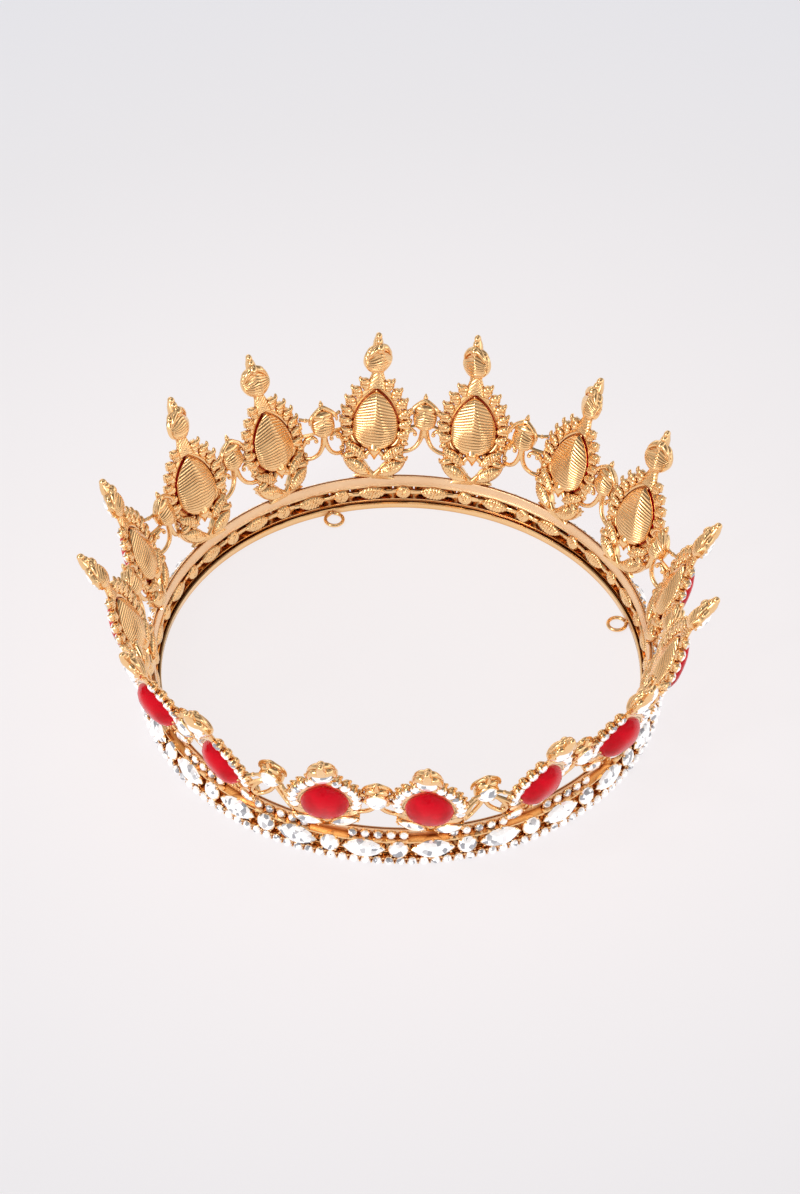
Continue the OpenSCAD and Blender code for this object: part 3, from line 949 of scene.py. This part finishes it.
def make_rail():
    """Upper rail: a plain satin strip with a thin top, and groups of small stones outside it."""
    shape, stones = Shape(), Shape()
    low, top = RAIL_LOW, BAND_H
    shape.add(lathe([
        (inner_r(low) + 0.25, low), (inner_r(low) + 0.02, low + 0.25),
        (inner_r(low + 0.5) + 0.1, low + 0.5), (inner_r(top - 0.55) + 0.1, top - 0.55),
        (inner_r(top - 0.3), top - 0.3), (RAIL_R + 0.12, top - 0.06),
        (RAIL_R + 0.35, top - 0.06), (RAIL_R + 0.45, top - 0.5), (RAIL_R + 0.75, top - 0.5),
        (RAIL_R + 0.85, top - 0.15), (RAIL_R + 1.1, top - 0.25), (RAIL_R + 1.2, top - 0.9),
        (inner_r(low) + RAIL_T, low + 0.6), (inner_r(low) + RAIL_T - 0.3, low),
    ], 360), SATIN)
    stone = Shape().add(moved(round_stone(RAIL_STONE_R, 1.1), 0, 0, 0.25))
    levels = [(0.85, -0.7), (1.0, -0.3), (1.0, 0.2), (0.9, 0.3)]
    cup = Shape().add(stack(round_outline(RAIL_STONE_R + 0.15, 14), levels))
    prongs(cup, both_sides([(1.1, 0.85), (1.1, -0.9)]), 0.35, 0.34, 5, 1.2)
    r = inner_r(RAIL_STONE_Z) + RAIL_T
    for bay in range(SPIRES):
        for i in range(RAIL_GROUP):
            azimuth = bay * PITCH + (i - (RAIL_GROUP - 1) / 2) * RAIL_STEP
            place = band_matrix(azimuth, r, RAIL_STONE_Z, BAND_LEAN)
            shape.merge(cup, place)
            stones.merge(stone, place)
    make_gold("rail", shape, "upper_rail", smooth=50)
    make_stones("rail_row", stones, "rail_row_stones")


def marquise_setting(deep):
    """Back, front and stone of a marquise in the gallery. deep is how far its back reaches out."""
    outline = marquise_outline(MARQUISE_LEN, MARQUISE_W, 72)
    back = Shape().add(domed_back(outline * 0.94, 0.78, 0.95, deep, 0.95, 0.24, 0.3))
    front = Shape().add(cup_wall(outline, -1.9, 0.4, 0.4))
    edge = MARQUISE_W / 2 - 0.1
    prongs(front, both_sides([(5.0, 1.3), (5.0, -1.3)]) + [(0, edge), (0, -edge)], 0.45, 0.42)
    return back, front, Shape().add(marquise_stone(MARQUISE_LEN - 0.5, MARQUISE_W - 0.1, 1.8))


def round_setting(deep):
    """The same for a round stone, with two beads on its back."""
    outline = round_outline(ROUND_R, 40)
    back = Shape().add(domed_back(outline * 0.94, 0.86, 1.0, deep, 0.9, 0.2, 0.8))
    back.add(ball((0, 0.9, -0.9), 0.5, 6, 8)).add(ball((0.4, -0.8, -0.85), 0.4, 6, 8))
    front = Shape().add(cup_wall(outline, -1.9, 0.4, 0.4))
    prongs(front, both_sides([(1.95, 1.95), (1.95, -1.95)]), 0.45, 0.42)
    levels = [(1.0, 0.4, False), (0.84, 1.05, True), (0.5, 1.7, False)]
    return back, front, Shape().add(facet_stone(lambda n: round_outline(ROUND_R - 0.15, n), 10, levels))


def gallery_web(shape):
    """A low web, wavy from setting to setting, and the two thin strips that hold the settings."""
    a = np.arange(1440) / 1440 * TAU
    swing = 0.5 - 0.5 * np.cos(2 * GALLERY * (a - math.radians(GALLERY_PHASE)))
    section = ((-0.25, 0.55, 0.15), (0.0, 0.9, 0.35), (0.6, 1.0, 0.35), (0.8, 0.0, 0.0),
               (0.6, -1.0, -0.35), (0.0, -0.9, -0.35), (-0.25, -0.55, -0.15))
    rows = []
    for out, up, wave in section:
        height = GALLERY_Z + up * (1.25 - 0.45 * swing) + 0.12 * np.sin(31 * a + wave)
        radius = inner_r(GALLERY_Z) + 0.75 + out + 0.1 * np.sin(53 * a)
        rows.append(np.column_stack([radius * np.sin(a), radius * np.cos(a), height]))
    shape.add(sheet(rows, True))
    strip = 0.6
    for low in (FOOT_H, RAIL_LOW - strip):
        near, far = inner_r(low) + 0.5, inner_r(low) + 3.7
        edge = [(far, low), (far + 0.1, low + strip / 2), (far, low + strip)]
        shape.add(lathe([(near, low)] + edge + [(near, low + strip)], 360))


def make_gallery():
    """Marquise and round settings in turn, joined by a low web. Their fronts face a little upwards."""
    inside, front = inner_r(GALLERY_Z) + 0.85, FOOT_OUT - 0.6
    deep, tilt = front - inside - 0.6, math.radians(-10)
    shape, marquises, rounds = Shape(), Shape(), Shape()
    kinds = ((marquise_setting(deep), marquises, 0), (round_setting(deep), rounds, 180 / GALLERY))
    for i in range(GALLERY):
        for (back, bezel, stone), stones, turn in kinds:
            azimuth = GALLERY_PHASE + i * 360 / GALLERY + turn
            place = band_matrix(azimuth, front, GALLERY_Z, tilt)
            shape.merge(back, band_matrix(azimuth, inside, GALLERY_Z, BAND_LEAN)).merge(bezel, place)
            stones.merge(stone, place)
    gallery_web(shape)
    make_gold("gallery", shape, "gallery_band")
    make_stones("gallery_marquises", marquises, "gallery_marquise_stones")
    make_stones("gallery_rounds", rounds, "gallery_round_stones")


def make_loops():
    """Four wire eyes inside the foot, each bent round with its ends soldered to the strip."""
    shape = Shape()
    height = np.array([0, 0, (loop_low.z + loop_high.z) / 2])
    t = np.linspace(-math.pi * 0.93, math.pi * 0.93, 48)[:, None]
    for i in range(4):
        a = math.radians(i * 90 - PITCH)
        outward = np.array([math.sin(a), math.cos(a), 0])
        side = np.array([math.cos(a), -math.sin(a), 0])
        centre = outward * (BAND_R - LOOP_BORE_R - 1.1) + height
        ring = centre + (LOOP_BORE_R + LOOP_WIRE_R) * (side * np.sin(t) - outward * np.cos(t))
        shape.add(tube(ring, [LOOP_WIRE_R] * 2, 12))
        shape.add(ball(outward * (BAND_R - 0.15) + height, 0.75, 8, 12, (1, 1, 0.8)))
    make_gold("hairpin_loops", shape, "pin_loops")


# ---------- Stones that stand on the spires ----------


def make_red_drops():
    """Sixteen red stones, each with a high faceted dome."""
    levels = [(1.0, 0.8, False), (0.95, 1.9, True), (0.84, 3.1, False), (0.62, 4.1, True),
              (0.34, 4.55, False)]
    stone = Shape().add(facet_stone(lambda n: drop_outline(DROP_R + 0.2, DROP_TIP + 0.1, n), 18, levels))
    mesh = outward_faces(stone.mesh("red_drop"))
    for k in range(1, SPIRES + 1):
        place = spire_matrix(k) @ Matrix.Translation((0, DROP_V, 0.6))
        make_piece(f"red_stone_{k:02d}", mesh, [red], [f"red_drop_{k:02d}"], place, 25)


def make_small_stones():
    """The small clear stones of the halos, and the marquises of the leaves."""
    halo, leaves = Shape(), Shape()
    small = Shape().add(round_stone(HALO_R * 0.95, 1.0))
    long_stone = Shape().add(marquise_stone(LEAF_LEN - 0.7, LEAF_W - 0.4, 1.25))
    for k in range(1, SPIRES + 1):
        base = spire_matrix(k)
        for side in (-1, 1):
            for i in range(HALO):
                x, y, _ = halo_spot(i)
                halo.merge(small, base @ Matrix.Translation((side * x, y, 1.05)))
            spot = Matrix.Translation((side * LEAF_X, LEAF_V, PLATE - 0.2))
            leaves.merge(long_stone, base @ spot @ Matrix.Rotation(side * LEAF_SLOPE, 4, "Z"))
    make_stones("halo_row", halo, "halo_stones")
    make_stones("leaf_marquises", leaves, "leaf_stones")


finial_gems = make_spires()
link_gems = make_links()
make_base_ring()
make_rail()
make_gallery()
make_loops()
make_red_drops()
make_small_stones()
make_stones("finial_drops", finial_gems, "finial_stones")
make_stones("link_drops", link_gems, "link_stones")

# ---------- Floor and light ----------

WORLD_LIGHT = 1.65
FLOOR_HALF = 3.0  # metres
LAMP_AIM = Vector((0, 0, 0.02))


def make_floor():
    """A wide white table top that gives off its own light, with a painted pool of light that makes it a
    little warmer and brighter under the crown.
    """
    mesh = bpy.data.meshes.new("floor")
    corners = [(x * FLOOR_HALF, y * FLOOR_HALF, 0) for x, y in ((-1, -1), (1, -1), (1, 1), (-1, 1))]
    mesh.from_pydata(corners, [], [(0, 1, 2, 3)])
    made, tree, shader, where = new_material("pale_table")
    # Painted pool of light: the glow grows warmer and brighter towards the middle, where the crown stands
    # and its shadow would fall
    spread = tree.nodes.new("ShaderNodeTexGradient")
    spread.gradient_type = "SPHERICAL"
    scale = tree.nodes.new("ShaderNodeMapping")
    scale.inputs["Scale"].default_value = (2.6, 2.6, 2.6)
    tree.links.new(where.outputs["Object"], scale.inputs["Vector"])
    tree.links.new(scale.outputs["Vector"], spread.inputs["Vector"])
    floor_glow_and_pool = [(0.0, (0.76, 0.765, 0.81)), (0.35, (0.82, 0.805, 0.825)), (0.75, (0.94, 0.90, 0.905))]
    glow = ramp(tree, spread.outputs["Fac"], floor_glow_and_pool)
    tree.links.new(glow.outputs["Color"], shader.inputs["Emission Color"])
    shader.inputs["Emission Strength"].default_value = 0.86
    shader.inputs["Base Color"].default_value = (0.16, 0.16, 0.17, 1)
    shader.inputs["Roughness"].default_value = 0.75
    shader.inputs["Specular IOR Level"].default_value = 0.2
    mesh.materials.append(made)
    floor = bpy.data.objects.new("floor", mesh)
    bpy.context.scene.collection.objects.link(floor)


def make_light(name, place, size, power, colour=(1, 1, 1)):
    data = bpy.data.lights.new(name, "AREA")
    data.shape = "RECTANGLE"
    data.size, data.size_y = size
    data.energy = power
    data.color = colour
    lamp = bpy.data.objects.new(name, data)
    lamp.location = place
    lamp.rotation_euler = (LAMP_AIM - Vector(place)).to_track_quat("-Z", "Y").to_euler()
    bpy.context.scene.collection.objects.link(lamp)


def make_world():
    """A room that is bright to the left, darker to the right, uneven all round, with a dim ceiling."""
    world = bpy.data.worlds.new("room")
    bpy.context.scene.world = world
    world.use_nodes = True
    tree = world.node_tree
    back = tree.nodes["Background"]
    where = tree.nodes.new("ShaderNodeTexCoord")
    split = tree.nodes.new("ShaderNodeSeparateXYZ")
    tree.links.new(where.outputs["Generated"], split.inputs["Vector"])
    rise = ramp(tree, split.outputs["Z"], [
        (0.0, (1.0, 0.98, 0.97)), (0.3, (0.93, 0.91, 0.89)),
        (0.6, (0.46, 0.42, 0.39)), (0.95, (0.30, 0.27, 0.25)),
    ])
    across = tree.nodes.new("ShaderNodeMapRange")
    across.inputs["From Min"].default_value = -1.0
    tree.links.new(split.outputs["X"], across.inputs["Value"])
    walls = [(0.0, 0.34), (0.08, 0.45), (0.19, 1.0), (0.34, 0.92), (0.48, 0.55), (0.68, 0.32), (0.82, 0.50),
             (0.97, 0.95)]
    round_the_room = ramp(tree, across.outputs["Result"], [(place, (v, v, v)) for place, v in walls])
    things = tree.nodes.new("ShaderNodeTexNoise")
    things.inputs["Scale"].default_value = 3.0
    things.inputs["Detail"].default_value = 1.0
    tree.links.new(where.outputs["Generated"], things.inputs["Vector"])
    shade = ramp(tree, things.outputs["Fac"], [(0.37, (0.4, 0.4, 0.4)), (0.53, (1.15, 1.15, 1.15))])
    product = tree.nodes.new("ShaderNodeMath")
    product.operation = "MULTIPLY"
    tree.links.new(round_the_room.outputs["Color"], product.inputs[0])
    tree.links.new(shade.outputs["Color"], product.inputs[1])
    strength = tree.nodes.new("ShaderNodeMath")
    strength.operation = "MULTIPLY"
    strength.inputs[1].default_value = WORLD_LIGHT
    tree.links.new(product.outputs["Value"], strength.inputs[0])
    tree.links.new(rise.outputs["Color"], back.inputs["Color"])
    tree.links.new(strength.outputs["Value"], back.inputs["Strength"])


make_floor()
make_world()
make_light("overhead", (0.1, 0.2, 1.2), (1.0, 0.9), 1.5)
make_light("window_left", (-1.0, -1.1, 0.55), (0.5, 0.5), 5, colour=(1, 0.98, 0.96))
make_light("front_right", (0.7, -1.5, 0.35), (0.5, 0.3), 2, colour=(1, 0.99, 0.97))
make_light("key", (-0.6, -0.3, 1.1), (0.18, 0.18), 1.0, colour=(1, 0.98, 0.95))
bpy.context.scene.view_settings.view_transform = "Standard"
